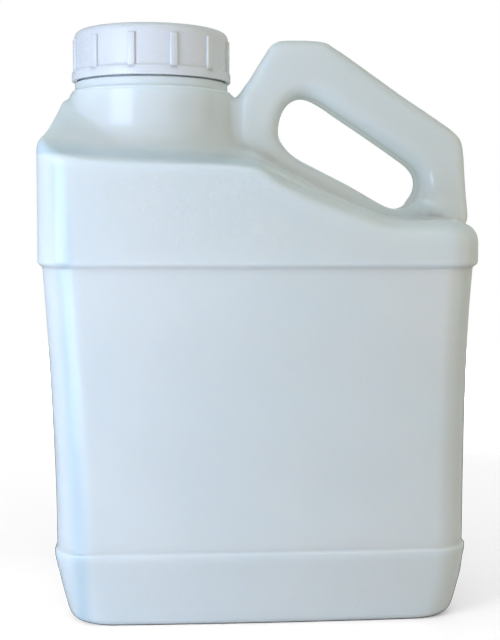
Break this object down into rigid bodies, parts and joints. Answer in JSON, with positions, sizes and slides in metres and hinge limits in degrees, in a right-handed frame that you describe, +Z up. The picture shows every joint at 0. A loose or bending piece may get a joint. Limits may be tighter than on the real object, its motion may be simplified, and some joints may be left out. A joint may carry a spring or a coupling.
{
  "type": "plastic jug",
  "caption": "Blow-moulded plastic jug with a hollow slanted handle, stepped rectangular body and offset wide neck closed by a ribbed screw cap; holds and pours liquids.",
  "frame": {"origin": "middle of the outer box, on the plane that the jug stands on", "axes": "+Z up, -Y the broad front face, -X the neck's end, +X the handle's end"},
  "size_m": [0.1827, 0.1192, 0.2454],
  "materials": {
    "natural_polyethylene": "milky, satin",
    "white_cap": "satin white",
    "foam_liner": "fine closed foam"
  },
  "bodies": {
    "jug": {"jug_body": "natural_polyethylene"},
    "liner": {"cap_liner": "foam_liner"},
    "cap": {"screw_cap": "white_cap"}
  },
  "joints": [
    {"name": "cap_lift", "type": "slide", "parent": "jug", "child": "liner", "axis": [0, 0, 1], "range_m": [0, 0.0064]},
    {"name": "cap_turn", "type": "hinge", "parent": "liner", "child": "cap", "pos_m": [-0.0455, 0, 0.2241], "axis": [0, 0, 1], "range_deg": [0, 540]}
  ],
  "couplings": [
    {"joint": "cap_lift", "follows": "cap_turn", "m_per_rad": 0.00067}
  ]
}
